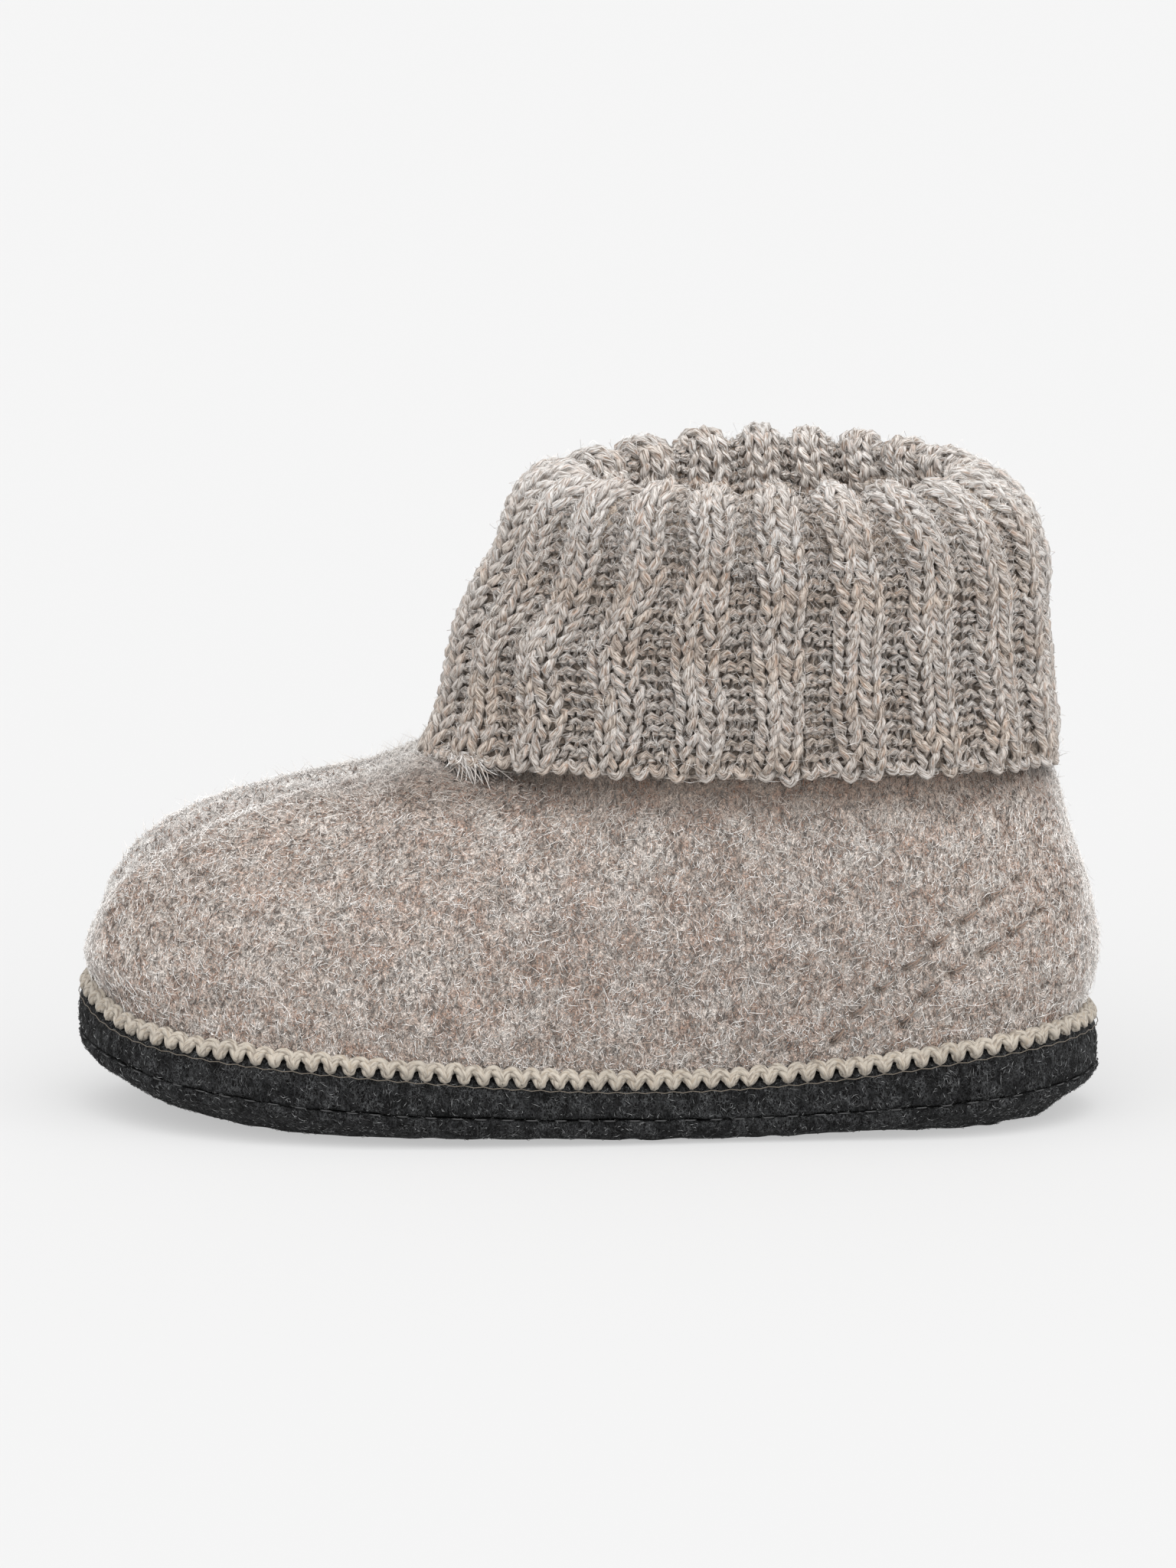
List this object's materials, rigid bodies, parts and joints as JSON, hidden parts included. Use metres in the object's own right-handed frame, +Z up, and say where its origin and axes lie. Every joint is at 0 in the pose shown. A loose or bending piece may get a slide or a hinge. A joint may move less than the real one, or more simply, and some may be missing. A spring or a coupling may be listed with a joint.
{
  "type": "wool slipper",
  "caption": "Child's ankle slipper in boiled wool with a turned-down rib-knit cuff, a cream stitch round its foot and a layered felt sole.",
  "frame": {"origin": "middle of the box round the whole slipper, at the floor that it stands on", "axes": "-X points at the toe and +X at the heel, -Y is the outer side of this left slipper, +Z is up"},
  "size_m": [0.176, 0.0762, 0.1134],
  "materials": {
    "dark_felt": "charcoal wool felt, matt",
    "insole_felt": "grey wool felt, matt",
    "heather_felt": "boiled wool in a grey-beige heather, fuzzy",
    "cream_yarn": "cream wool yarn",
    "rib_knit": "chunky rib knit in the same heather wool"
  },
  "bodies": {
    "root": {"outsole": "dark_felt", "midsole": "dark_felt", "insole": "insole_felt", "upper": "heather_felt", "binding": "cream_yarn", "cuff": "rib_knit"}
  },
  "joints": []
}
